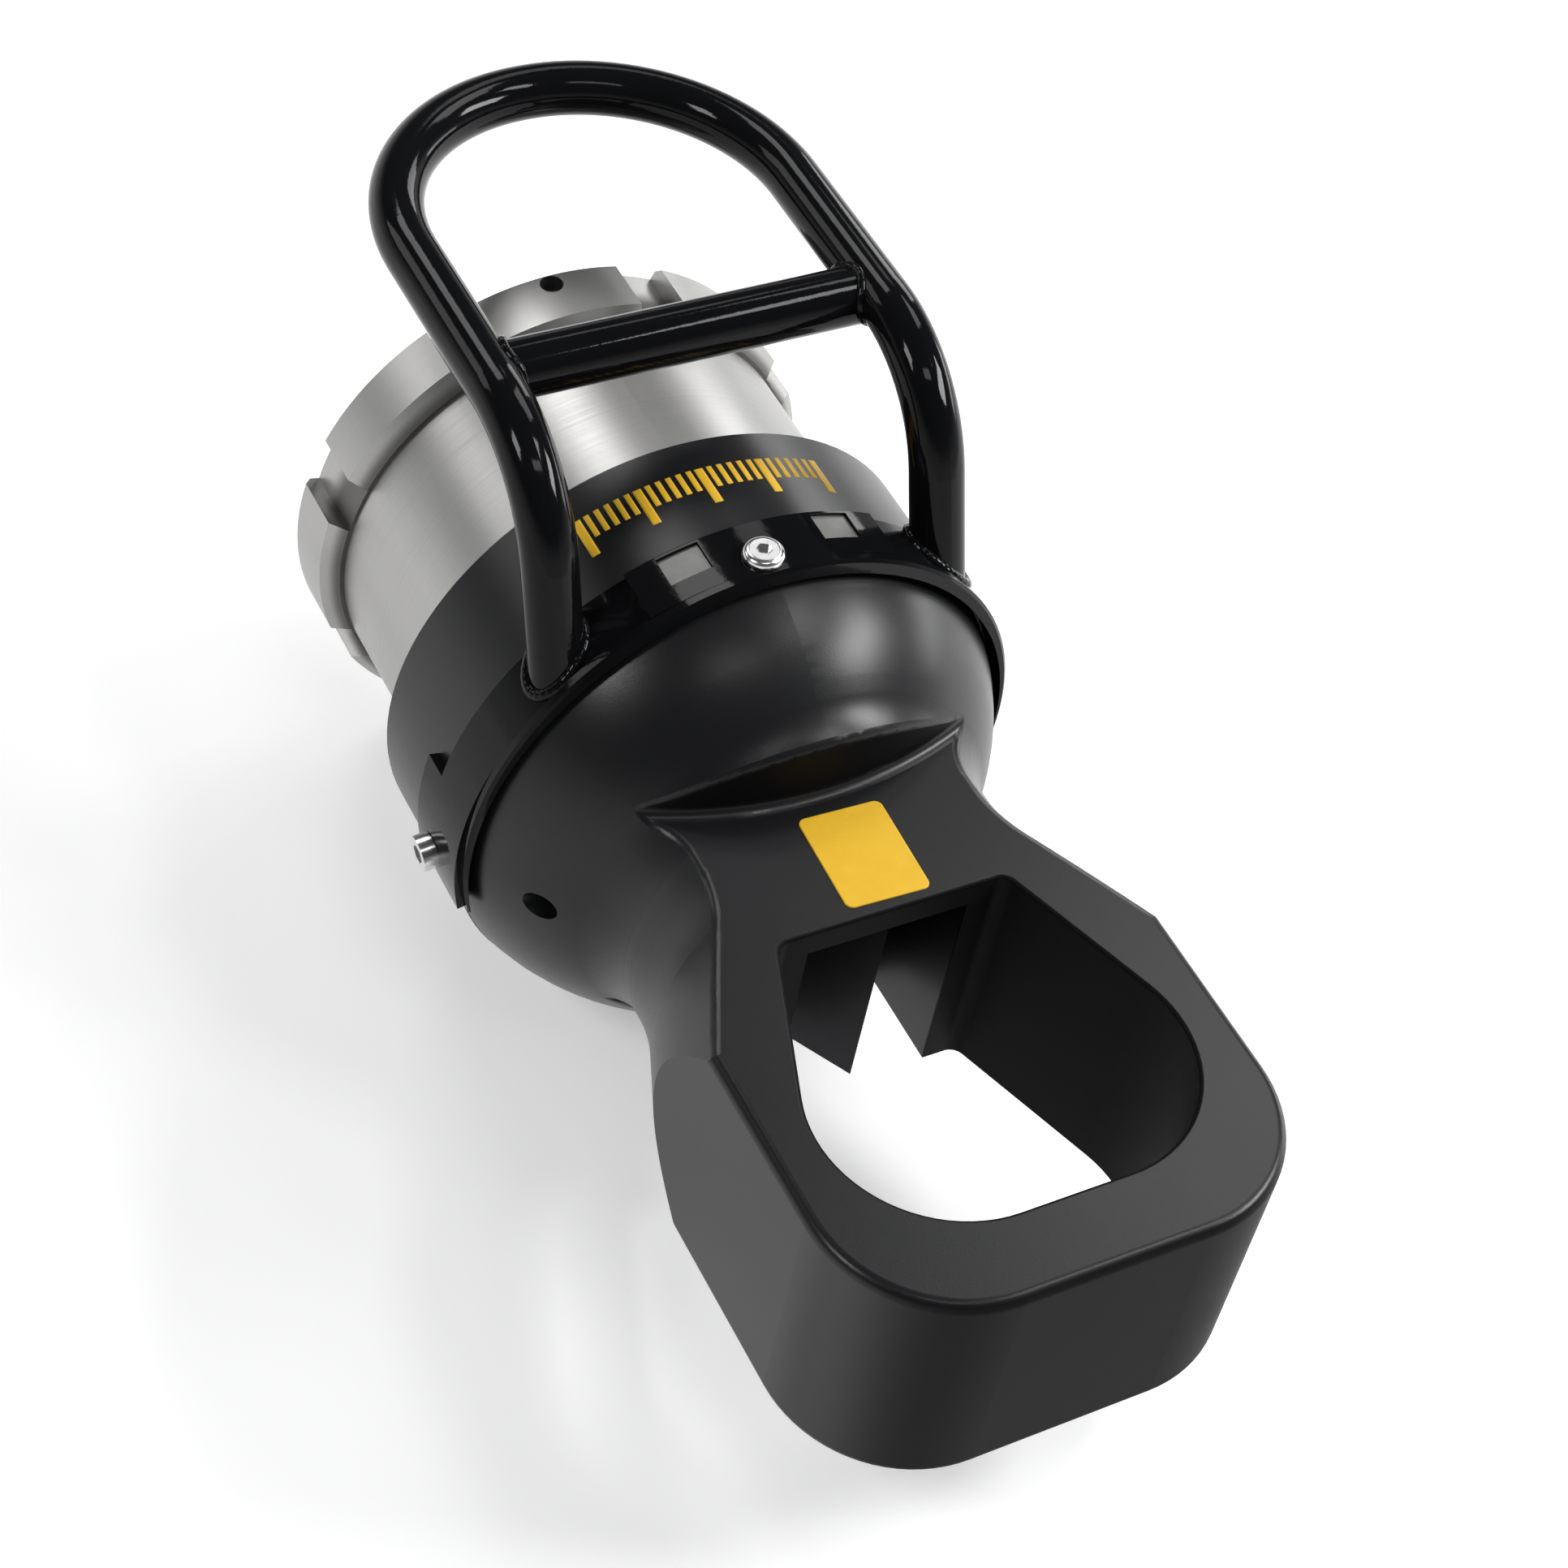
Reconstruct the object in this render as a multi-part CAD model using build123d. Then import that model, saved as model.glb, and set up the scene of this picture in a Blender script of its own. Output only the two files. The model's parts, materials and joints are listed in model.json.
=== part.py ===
from build123d import *
from math import asin, cos, pi, radians, sin, sqrt, tan
import os

# Hydraulic nut splitter, millimetres.
# Construction frame: X runs along the ram axis with 0 at the blade side of the nut opening, +X points to the
# tip of the loop, +Z points to the handle. Every piece is shifted at the end, so that the tool lies on Z = 0.

# Nut opening: takes a hexagon of 105 across flats, lying with two flats square to the ram
OPEN_LENGTH = 111.0
OPEN_HALF_WIDTH = 61.5
OPEN_CORNER_R = 43.0
OPEN_SIDE_ANGLE = 20.0
OPEN_NEAR_ROUND = 5.0
OPEN_EDGE_ROUND = 1.2

# Loop of the head
LOOP_TIP = 137.5
LOOP_HALF_WIDTH = 77.5
LOOP_CORNER_R = 46.0
HEAD_HALF_THICK = 44.0
LOOP_EDGE_ROUND = 3.5

# Neck, dome and skirt of the head
NECK_R = 65.3
NECK_CONE_SLOPE = 0.418
NECK_CONE_START = -23.8
NECK_CONE_END = 45.8
NECK_ROUND_RUN = 12.0
DOME_R = 87.5
DOME_CENTRE = (-122.1, 11.6)
DOME_END = -60.5
NECK_START = -41.1
SKIRT_R = 96.6
SKIRT_FRONT = -100.7
SKIRT_REAR = -159.5
SKIRT_CHAMFER = 1.5
STEP_FOOT = -49.3
STEP_R = 146.0
STEP_FOOT_ROUND = 3.5

# Blade slot and bores inside the head
SLOT_HALF_WIDTH = 28.0
SLOT_REAR = -45.0
SLOT_ROOF = 34.5
ROD_BORE_R = 28.2
BUSH_R = 32.0
BUSH_FRONT = -62.0
BUSH_REAR = -96.0
SEAT_PLANE = -98.0
CHAMBER_R = 60.0
BARREL_STOP = -106.0
WIPER_FRONT = -51.0
WIPER_REAR = -56.0

# Cylinder and rear cap
BARREL_R = 83.6
BORE_R = 65.0
BARREL_REAR = -240.0
CAP_R = 90.5
CAP_FRONT = -227.7
CAP_REAR = -255.0
CAP_SPIGOT = -212.0
CAP_ROUND = 2.5
CAP_BEVEL_LENGTH = 4.5
CAP_BEVEL_HEIGHT = 5.5
NOTCH_COUNT = 8
NOTCH_ANGLE = 12.0
NOTCH_FLOOR_R = 84.6
CAP_SEAL_FRONT = -223.0
CAP_SEAL_REAR = -228.0
CAP_SEAL_DEPTH = 4.5
INLET_DEPTH = 15.0
BLEED_X = -248.4
BLEED_ANGLE = 93.75
BLEED_R = 4.0
BLEED_DEPTH = 15.0
BLEED_RECESS = 6.5

# Ram, blade and spring, drawn at rest with the blade back
STROKE = 55.0
ROD_R = 27.7
ROD_FRONT = -60.0
PISTON_FRONT = -176.0
PISTON_REAR = -210.0
PISTON_R = 64.94
PISTON_SPIGOT_R = 15.0
PISTON_SPIGOT_REAR = -208.0
PISTON_NUT_AF = 46.0
PISTON_NUT_THICK = 16.0
NUT_RECESS_R = 32.0
SEAL_GROOVE_REAR = -203.0
SEAL_GROOVE_FRONT = -193.5
SEAL_GROOVE_DEPTH = 6.0
BACKUP_RING_WIDTH = 2.3
GUIDE_GROOVE_REAR = -188.0
GUIDE_GROOVE_FRONT = -183.0
GUIDE_GROOVE_DEPTH = 2.5
BLADE_SIDE = 48.0
BLADE_TOP = 33.5
BLADE_BOTTOM = -39.0
HOLDER_FRONT = -33.0
HOLDER_SCREW_R = 8.0
HOLDER_SCREW_HEAD_R = 12.0
HOLDER_HEAD_PLAY = 0.5
HOLDER_SCREW_DEPTH = 28.0
HOLDER_SOCKET_R = 6.8
HOLDER_SOCKET_DEPTH = 6.0
HOLDER_RECESS = 10.0
RETAINER_R = 3.0
RETAINER_OFFSET = 4.0
SPRING_WIRE_R = 3.5
SPRING_R = 43.5
SPRING_TURNS = 4
SPRING_POCKET = -190.0
SPRING_POCKET_OUTER_R = 53.0
SPRING_POCKET_INNER_R = 35.0
SPRING_SEAT_THICK = 3.0
SPRING_SEAT_OUTER_R = 55.0
SPRING_SEAT_INNER_R = 34.0
GUIDE_SCREW_X = -70.0
GUIDE_SCREW_R = 5.0
GUIDE_SCREW_PLAY = 0.2
GUIDE_SCREW_RECESS = 7.0
GUIDE_BODY_END = 30.0
GUIDE_DOG_R = 3.5
GUIDE_DOG_DEPTH = 3.5
KEYWAY_DEPTH = 4.0
KEYWAY_PLAY = 0.3

# Handle bracket
STRAP_R = 100.0
STRAP_FRONT = -90.8
STRAP_REAR = -114.0
STRAP_END_ANGLE = 193.0
RIM_R = 98.4
RIM_RISE = 3.8
RIM_WIDTH = 3.5
RIM_CHAMFER = 1.0
PAD_R = 102.2
PAD_REAR = -115.0
PAD_HALF_ANGLE = 25.0
PAD_CHAMFER = 1.2
LUG_REAR = -124.0
LUG_ANGLE = 168.0
WINDOW_X = -107.2
WINDOW_LENGTH = 11.5
WINDOW_ANGLE = 15.0
WINDOW_SPREAD = 8.0
WINDOW_FLOOR_R = 100.6
PLATE_THICK = 0.6
PLATE_MARGIN = 0.2
TOP_SCREW_X = -99.3
TOP_SCREW_ANGLE = 92.0
TOP_HEAD_R = 6.8
TOP_HEAD_HEIGHT = 2.8
TOP_HEAD_ROUND = 2.2
TOP_SOCKET_R = 2.7
TOP_SOCKET_DEPTH = 2.0
TOP_SCREW_DEPTH = 14.0
END_SCREW_X = -112.5
END_SCREW_ANGLES = (187.0, -7.0)
SCREW_HEAD_R = 6.2
SCREW_HEAD_HEIGHT = 5.0
SCREW_SOCKET_R = 3.4
SCREW_SOCKET_DEPTH = 2.5
SCREW_R = 3.9
END_SCREW_DEPTH = 12.0

# Handle
HANDLE_BAR_R = 9.0
HANDLE_HALF_WIDTH = 67.5
HANDLE_HEIGHT = 133.6
HANDLE_CORNER_X = -129.0
HANDLE_LEAN = 0.385
HANDLE_BEND_R = 50.0
HANDLE_BOW_CENTRE = -227.0
HANDLE_BOW_R = 67.0
CROSSBAR_X = -172.0
CROSSBAR_R = 9.6
CROSSBAR_DROP = 3.1

# Oil inlet
INLET_R = 8.5
OIL_WAY_R = 4.25
THREAD_LENGTH = 13.0
HEX_AF = 27.0
HEX_REAR = -263.0
COUPLER_FRONT = -268.0
COUPLER_REAR = -301.0
COUPLER_R = 12.5
COUPLER_FLANGE_R = 15.0
COUPLER_BORE_R = 6.5
COUPLER_BORE_DEPTH = 16.0
COUPLER_CHAMFER = 1.5
FLANGE_THICK = 3.0
VALVE_SEAT_R = 3.6
VALVE_SEAT_THICK = 2.0
VALVE_CHAMBER_R = 5.6
POPPET_R = 4.6
POPPET_LENGTH = 10.0
POPPET_TIP_R = 3.0
POPPET_TAPER = 2.0
POPPET_GAP = 0.3
SNAP_RING_WIDTH = 1.3
SNAP_RING_DEPTH = 1.0
SNAP_RING_RISE = 1.5
SNAP_RING_PLAY = 0.1
COLLAR_R = 17.0
COLLAR_CHAMFER = 1.0
COLLAR_PLAY = 0.4
COLLAR_FRONT = -271.4
COLLAR_REAR = -292.6

# Fits, spare depth behind a screw, a set screw's socket share, and how far a cut runs past a face
SLIDING_GAP = 0.06
SEATED_GAP = 0.05
SCREW_SPARE = 1.0
SET_SOCKET_SHARE = 0.55
OVERCUT = 1.0


def turned(points):
    """Solid turned about X from a closed outline of (x, radius) points."""
    outline = Polyline(*[(x, 0, r) for x, r in points], close=True)
    return revolve(make_face(outline), Axis.X)


def bar(x0, x1, radius):
    """Round bar along X."""
    return turned([(x0, 0), (x1, 0), (x1, radius), (x0, radius)])


def ring(x0, x1, outer, inner):
    """Plain ring about X."""
    return turned([(x0, inner), (x1, inner), (x1, outer), (x0, outer)])


def sector(points, start, end):
    """Outline of (x, radius) points carried about X from one angle to another, counted from +Y to +Z."""
    outline = Polyline(*[(x, 0, r) for x, r in points], close=True)
    face = Rot(start - 90, 0, 0) * make_face(outline)
    return revolve(face, Axis.X, end - start)


def radial_bar(x, angle, r0, r1, radius):
    """Round bar that stands square to the X axis, between two radii."""
    upright = Pos(x, 0, (r0 + r1) / 2) * Cylinder(radius, r1 - r0)
    return Rot(angle - 90, 0, 0) * upright


def radial_hexagon(x, angle, r0, r1, radius):
    """Hexagon bar that stands square to the X axis, between two radii."""
    upright = Pos(x, 0, r0) * extrude(RegularPolygon(radius, 6), r1 - r0)
    return Rot(angle - 90, 0, 0) * upright


def dome_radius(x):
    """Radius of the dome's arc at x."""
    cx, cr = DOME_CENTRE
    return cr + sqrt(DOME_R ** 2 - (x - cx) ** 2)


def cone_radius(x):
    """Radius of the flare between neck and loop at x."""
    return NECK_R + NECK_CONE_SLOPE * (x - NECK_CONE_START)


def head_envelope():
    """Turned outer form: skirt, dome, waist and flare, run on past the loop at full radius."""
    flare_start = NECK_CONE_START + NECK_ROUND_RUN * cos(asin(NECK_CONE_SLOPE))
    dome_mid = (SKIRT_FRONT + DOME_END) / 2
    skirt = Polyline(
        (SKIRT_REAR, 0, 0),
        (SKIRT_REAR, 0, SKIRT_R - SKIRT_CHAMFER),
        (SKIRT_REAR + SKIRT_CHAMFER, 0, SKIRT_R),
        (SKIRT_FRONT, 0, SKIRT_R),
        (SKIRT_FRONT, 0, dome_radius(SKIRT_FRONT)),
    )
    dome = ThreePointArc(
        (SKIRT_FRONT, 0, dome_radius(SKIRT_FRONT)),
        (dome_mid, 0, dome_radius(dome_mid)),
        (DOME_END, 0, dome_radius(DOME_END)),
    )
    hollow = TangentArc(
        (NECK_START, 0, NECK_R), (DOME_END, 0, dome_radius(DOME_END)), tangent=(-1, 0, 0)
    )
    waist_end = NECK_CONE_START - NECK_ROUND_RUN
    waist = Line((NECK_START, 0, NECK_R), (waist_end, 0, NECK_R))
    flare_round = TangentArc(
        (waist_end, 0, NECK_R), (flare_start, 0, cone_radius(flare_start)), tangent=(1, 0, 0)
    )
    front = Polyline(
        (flare_start, 0, cone_radius(flare_start)),
        (NECK_CONE_END, 0, cone_radius(NECK_CONE_END)),
        (LOOP_TIP + OVERCUT, 0, cone_radius(NECK_CONE_END)),
        (LOOP_TIP + OVERCUT, 0, 0),
        (SKIRT_REAR, 0, 0),
    )
    return revolve(make_face([skirt, dome, hollow, waist, flare_round, front]), Axis.X)


def loop_slab():
    """Flat slab of the loop and neck, with round tip corners."""
    length = LOOP_TIP - NECK_START
    plan = Pos((LOOP_TIP + NECK_START) / 2, 0) * Rectangle(length, 2 * LOOP_HALF_WIDTH)
    plan = fillet(plan.vertices().group_by(Axis.X)[-1], LOOP_CORNER_R)
    return Pos(0, 0, -HEAD_HALF_THICK) * extrude(plan, 2 * HEAD_HALF_THICK)


def step_cutter():
    """What is milled off above the flat: it ends at the curved step, with a round at the step's foot."""
    reach = 2 * SKIRT_R
    middle = HEAD_HALF_THICK + reach / 2
    block = Pos((SKIRT_FRONT + LOOP_TIP) / 2, 0, middle) * Box(LOOP_TIP - SKIRT_FRONT, 2 * reach, reach)
    block -= Pos(STEP_FOOT - STEP_R, 0, middle) * Cylinder(STEP_R, reach)
    foot = block.faces().sort_by(Axis.Z)[0].edges().filter_by(GeomType.CIRCLE)
    return fillet(foot, STEP_FOOT_ROUND)


def opening_plan():
    """Rounded hexagon of the nut opening."""
    slope = tan(radians(OPEN_SIDE_ANGLE))
    cx = OPEN_LENGTH - OPEN_CORNER_R
    cy = OPEN_HALF_WIDTH - OPEN_CORNER_R
    side = radians(OPEN_SIDE_ANGLE)
    touch_x = cx - OPEN_CORNER_R * sin(side)
    touch_y = cy + OPEN_CORNER_R * cos(side)
    near_y = touch_y - touch_x * slope
    mid_angle = (radians(90) + side) / 2
    mid_x = cx + OPEN_CORNER_R * cos(mid_angle)
    mid_y = cy + OPEN_CORNER_R * sin(mid_angle)
    lines = [
        Line((0, -near_y), (0, near_y)),
        Line((0, near_y), (touch_x, touch_y)),
        ThreePointArc((touch_x, touch_y), (mid_x, mid_y), (OPEN_LENGTH, cy)),
        Line((OPEN_LENGTH, cy), (OPEN_LENGTH, -cy)),
        ThreePointArc((OPEN_LENGTH, -cy), (mid_x, -mid_y), (touch_x, -touch_y)),
        Line((touch_x, -touch_y), (0, -near_y)),
    ]
    plan = make_face(lines)
    return fillet(plan.vertices().group_by(Axis.X)[0], OPEN_NEAR_ROUND)


def forged_blank():
    """Turned skirt, dome and neck, milled to the flats and the loop, with rounded edges along the flats."""
    envelope = head_envelope()
    reach = 2 * SKIRT_R
    rear_length = NECK_START - SKIRT_REAR
    rear_space = Pos((SKIRT_REAR + NECK_START) / 2, 0, 0) * Box(rear_length, 2 * reach, 2 * reach)
    above = step_cutter()
    blank = (envelope & rear_space) - above - mirror(above, Plane.XY)
    blank += envelope & loop_slab()
    edges = blank.faces().filter_by(Axis.Z).edges()
    outline = [e for e in edges if e.geom_type != GeomType.CIRCLE or e.center().X > 0]
    return fillet(outline, LOOP_EDGE_ROUND)


def cutting_head():
    """Forged head: the blank with the nut opening, the blade slot, the bores and the screw holes."""
    head = forged_blank()
    cut_half = HEAD_HALF_THICK + OVERCUT
    head -= Pos(0, 0, -cut_half) * extrude(opening_plan(), 2 * cut_half)
    rims = [face.inner_wires()[0].edges() for face in head.faces().filter_by(Axis.Z)]
    head = fillet(rims[0] + rims[1], OPEN_EDGE_ROUND)
    slot_height = SLOT_ROOF + cut_half
    slot_length = OVERCUT - SLOT_REAR
    head -= Pos(SLOT_REAR + slot_length / 2, 0, SLOT_ROOF - slot_height / 2) * Box(
        slot_length, 2 * SLOT_HALF_WIDTH, slot_height
    )
    head -= turned([
        (SKIRT_REAR - OVERCUT, 0),
        (SLOT_REAR + OVERCUT, 0),
        (SLOT_REAR + OVERCUT, ROD_BORE_R),
        (WIPER_FRONT, ROD_BORE_R),
        (WIPER_FRONT, BUSH_R),
        (WIPER_REAR, BUSH_R),
        (WIPER_REAR, ROD_BORE_R),
        (BUSH_FRONT, ROD_BORE_R),
        (BUSH_FRONT, BUSH_R),
        (SEAT_PLANE, BUSH_R),
        (SEAT_PLANE, CHAMBER_R),
        (BARREL_STOP, CHAMBER_R),
        (BARREL_STOP, BARREL_R + SEATED_GAP),
        (SKIRT_REAR - OVERCUT, BARREL_R + SEATED_GAP),
    ])
    head -= radial_bar(GUIDE_SCREW_X, 180, ROD_R, SKIRT_R, GUIDE_SCREW_R)
    top_end = PAD_R - TOP_SCREW_DEPTH - SCREW_SPARE
    head -= radial_bar(TOP_SCREW_X, TOP_SCREW_ANGLE, top_end, PAD_R, SCREW_R + SEATED_GAP)
    side_end = STRAP_R - END_SCREW_DEPTH - SCREW_SPARE
    for angle in END_SCREW_ANGLES:
        head -= radial_bar(END_SCREW_X, angle, side_end, STRAP_R, SCREW_R + SEATED_GAP)
    return head


def rear_cap():
    """Castellated cap: lip over the barrel, spigot in its bore, slots for a spanner along it."""
    cap = turned([
        (CAP_REAR, INLET_R),
        (CAP_REAR + INLET_DEPTH, INLET_R),
        (CAP_REAR + INLET_DEPTH, OIL_WAY_R),
        (CAP_SPIGOT, OIL_WAY_R),
        (CAP_SPIGOT, BORE_R - SEATED_GAP),
        (CAP_SEAL_FRONT, BORE_R - SEATED_GAP),
        (CAP_SEAL_FRONT, BORE_R - CAP_SEAL_DEPTH),
        (CAP_SEAL_REAR, BORE_R - CAP_SEAL_DEPTH),
        (CAP_SEAL_REAR, BORE_R - SEATED_GAP),
        (BARREL_REAR, BORE_R - SEATED_GAP),
        (BARREL_REAR, BARREL_R + SEATED_GAP),
        (CAP_FRONT, BARREL_R + SEATED_GAP),
        (CAP_FRONT, CAP_R - CAP_BEVEL_HEIGHT),
        (CAP_FRONT - CAP_BEVEL_LENGTH, CAP_R),
        (CAP_REAR + CAP_ROUND, CAP_R),
        (CAP_REAR, CAP_R - CAP_ROUND),
    ])
    front = CAP_FRONT + OVERCUT
    rear = CAP_REAR - OVERCUT
    outer = CAP_R + OVERCUT
    notch = [(front, NOTCH_FLOOR_R), (rear, NOTCH_FLOOR_R), (rear, outer), (front, outer)]
    pitch = 360 / NOTCH_COUNT
    for i in range(NOTCH_COUNT):
        middle = BLEED_ANGLE + (i + 0.5) * pitch
        cap -= sector(notch, middle - NOTCH_ANGLE / 2, middle + NOTCH_ANGLE / 2)
    return cap - radial_bar(BLEED_X, BLEED_ANGLE, CAP_R - BLEED_DEPTH, outer, BLEED_R)


def rear_cap_o_ring():
    """Round-section seal in the groove of the cap's spigot."""
    wire_r = CAP_SEAL_DEPTH / 2 - SEATED_GAP
    seal = Rot(0, 90, 0) * Torus(BORE_R - SEATED_GAP - wire_r, wire_r)
    return Pos((CAP_SEAL_FRONT + CAP_SEAL_REAR) / 2, 0, 0) * seal


def set_screw(x, angle, r0, r1, radius):
    """Headless screw with a hexagon socket in its outer end."""
    body = radial_bar(x, angle, r0, r1, radius)
    return body - radial_hexagon(x, angle, r1 - radius, r1 + OVERCUT, radius * SET_SOCKET_SHARE)


def bleed_screw():
    """Screw that closes the air bleed in the rear cap."""
    inner = CAP_R - BLEED_DEPTH + SEATED_GAP
    return set_screw(BLEED_X, BLEED_ANGLE, inner, CAP_R - BLEED_RECESS, BLEED_R - SEATED_GAP)


def guide_screw():
    """Set screw with a dog point that runs in the rod's keyway."""
    outer_end = dome_radius(GUIDE_SCREW_X) - GUIDE_SCREW_RECESS
    screw = set_screw(GUIDE_SCREW_X, 180, GUIDE_BODY_END, outer_end, GUIDE_SCREW_R - SEATED_GAP)
    return screw + radial_bar(GUIDE_SCREW_X, 180, ROD_R - GUIDE_DOG_DEPTH, GUIDE_BODY_END, GUIDE_DOG_R)


def top_screw():
    """Button head screw on the pad."""
    head = Pos(TOP_SCREW_X, 0, PAD_R + TOP_HEAD_HEIGHT / 2) * Cylinder(TOP_HEAD_R, TOP_HEAD_HEIGHT)
    head = fillet(head.edges().sort_by(Axis.Z)[-1], TOP_HEAD_ROUND)
    screw = Rot(TOP_SCREW_ANGLE - 90, 0, 0) * head
    screw += radial_bar(TOP_SCREW_X, TOP_SCREW_ANGLE, PAD_R - TOP_SCREW_DEPTH, PAD_R, SCREW_R)
    top = PAD_R + TOP_HEAD_HEIGHT
    floor = top - TOP_SOCKET_DEPTH
    return screw - radial_hexagon(TOP_SCREW_X, TOP_SCREW_ANGLE, floor, top + OVERCUT, TOP_SOCKET_R)


def end_screw(angle):
    """Socket head screw on one end of the strap."""
    top = STRAP_R + SCREW_HEAD_HEIGHT
    screw = radial_bar(END_SCREW_X, angle, STRAP_R, top, SCREW_HEAD_R)
    screw += radial_bar(END_SCREW_X, angle, STRAP_R - END_SCREW_DEPTH, STRAP_R, SCREW_R)
    floor = top - SCREW_SOCKET_DEPTH
    return screw - radial_hexagon(END_SCREW_X, angle, floor, top + OVERCUT, SCREW_SOCKET_R)


def window_block(side, top, margin):
    """Block that fills the pad's window on one side, up to a radius, with a margin all round."""
    x0 = WINDOW_X - WINDOW_LENGTH / 2 + margin
    x1 = WINDOW_X + WINDOW_LENGTH / 2 - margin
    middle = 90 + side * WINDOW_ANGLE
    half = WINDOW_SPREAD / 2 - margin / 2
    outline = [(x0, WINDOW_FLOOR_R), (x1, WINDOW_FLOOR_R), (x1, top), (x0, top)]
    return sector(outline, middle - half, middle + half)


def handle_bracket():
    """Strap over the skirt, with a rim that thins out downwards, a pad with two windows and two end lugs."""
    inner = SKIRT_R + SEATED_GAP
    rim_rear = STRAP_FRONT - RIM_WIDTH
    low = 180 - STRAP_END_ANGLE
    strap = [(rim_rear, inner), (rim_rear, STRAP_R), (STRAP_REAR, STRAP_R), (STRAP_REAR, inner)]
    span = [(rim_rear, inner), (rim_rear, 2 * inner), (STRAP_FRONT, 2 * inner), (STRAP_FRONT, inner)]
    rim = Pos(0, 0, RIM_RISE) * bar(rim_rear, STRAP_FRONT, RIM_R)
    rim = chamfer(rim.edges().sort_by(Axis.X)[-1], RIM_CHAMFER)
    rim &= sector(span, low, STRAP_END_ANGLE)
    pad = [
        (rim_rear, inner),
        (rim_rear, PAD_R),
        (PAD_REAR + PAD_CHAMFER, PAD_R),
        (PAD_REAR, PAD_R - PAD_CHAMFER),
        (PAD_REAR, inner),
    ]
    lug = [(rim_rear, inner), (rim_rear, STRAP_R), (LUG_REAR, STRAP_R), (LUG_REAR, inner)]
    bracket = sector(strap, low, STRAP_END_ANGLE) + rim
    bracket += sector(pad, 90 - PAD_HALF_ANGLE, 90 + PAD_HALF_ANGLE)
    bracket += sector(lug, LUG_ANGLE, STRAP_END_ANGLE)
    bracket += sector(lug, low, 180 - LUG_ANGLE)
    for side in (-1, 1):
        bracket -= window_block(side, PAD_R + OVERCUT, 0)
    bracket -= radial_bar(TOP_SCREW_X, TOP_SCREW_ANGLE, SKIRT_R, PAD_R + OVERCUT, SCREW_R + SEATED_GAP)
    for angle in END_SCREW_ANGLES:
        bracket -= radial_bar(END_SCREW_X, angle, SKIRT_R, STRAP_R + OVERCUT, SCREW_R + SEATED_GAP)
    return bracket


def scale_plates():
    """Plate on the floor of each window."""
    top = WINDOW_FLOOR_R + PLATE_THICK
    return Compound([window_block(side, top, PLATE_MARGIN) for side in (-1, 1)])


def handle_loop():
    """Round bar bent into two legs and a rear bow, its feet coped to the strap."""
    foot_z = STRAP_R / 2
    foot_x = HANDLE_CORNER_X + HANDLE_LEAN * (HANDLE_HEIGHT - foot_z)
    bow_x = HANDLE_BOW_CENTRE - HANDLE_HALF_WIDTH
    half = [
        (foot_x, HANDLE_HALF_WIDTH, foot_z),
        (HANDLE_CORNER_X, HANDLE_HALF_WIDTH, HANDLE_HEIGHT),
        (bow_x, HANDLE_HALF_WIDTH, HANDLE_HEIGHT),
    ]
    route = half + [(x, -y, z) for x, y, z in reversed(half)]
    path = FilletPolyline(*route, radius=[HANDLE_BEND_R, HANDLE_BOW_R, HANDLE_BOW_R, HANDLE_BEND_R])
    start = Plane(origin=path @ 0, z_dir=path % 0)
    loop = sweep(start * Circle(HANDLE_BAR_R), path=path)
    return loop - bar(foot_x - foot_z, foot_x + foot_z, STRAP_R + SEATED_GAP)


def handle_crossbar(loop):
    """Bar across the legs of the loop, a little below their middle and coped to both."""
    height = HANDLE_HEIGHT - CROSSBAR_DROP
    cross = Pos(CROSSBAR_X, 0, height) * Rot(90, 0, 0) * Cylinder(CROSSBAR_R, 2 * HANDLE_HALF_WIDTH)
    return cross - loop


def piston():
    """Piston with seal grooves, a spring pocket in front and a nut recess behind."""
    return turned([
        (PISTON_REAR, NUT_RECESS_R),
        (PISTON_REAR, PISTON_R),
        (SEAL_GROOVE_REAR, PISTON_R),
        (SEAL_GROOVE_REAR, PISTON_R - SEAL_GROOVE_DEPTH),
        (SEAL_GROOVE_FRONT, PISTON_R - SEAL_GROOVE_DEPTH),
        (SEAL_GROOVE_FRONT, PISTON_R),
        (GUIDE_GROOVE_REAR, PISTON_R),
        (GUIDE_GROOVE_REAR, PISTON_R - GUIDE_GROOVE_DEPTH),
        (GUIDE_GROOVE_FRONT, PISTON_R - GUIDE_GROOVE_DEPTH),
        (GUIDE_GROOVE_FRONT, PISTON_R),
        (PISTON_FRONT, PISTON_R),
        (PISTON_FRONT, SPRING_POCKET_OUTER_R),
        (SPRING_POCKET, SPRING_POCKET_OUTER_R),
        (SPRING_POCKET, SPRING_POCKET_INNER_R),
        (PISTON_FRONT, SPRING_POCKET_INNER_R),
        (PISTON_FRONT, PISTON_SPIGOT_R + SEATED_GAP),
        (SPRING_POCKET, PISTON_SPIGOT_R + SEATED_GAP),
        (SPRING_POCKET, NUT_RECESS_R),
    ])


def piston_rings():
    """Seal, back-up ring and guide ring, each a little smaller than its groove."""
    play = 2 * SEATED_GAP
    split = SEAL_GROOVE_FRONT - BACKUP_RING_WIDTH - play
    floor = PISTON_R - SEAL_GROOVE_DEPTH + SEATED_GAP
    guide_floor = PISTON_R - GUIDE_GROOVE_DEPTH + SEATED_GAP
    seal = ring(SEAL_GROOVE_REAR + play, split - play, PISTON_R, floor)
    backup = ring(split, SEAL_GROOVE_FRONT - play, PISTON_R, floor)
    guide = ring(GUIDE_GROOVE_REAR + play, GUIDE_GROOVE_FRONT - play, PISTON_R, guide_floor)
    return seal, backup, guide


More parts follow.
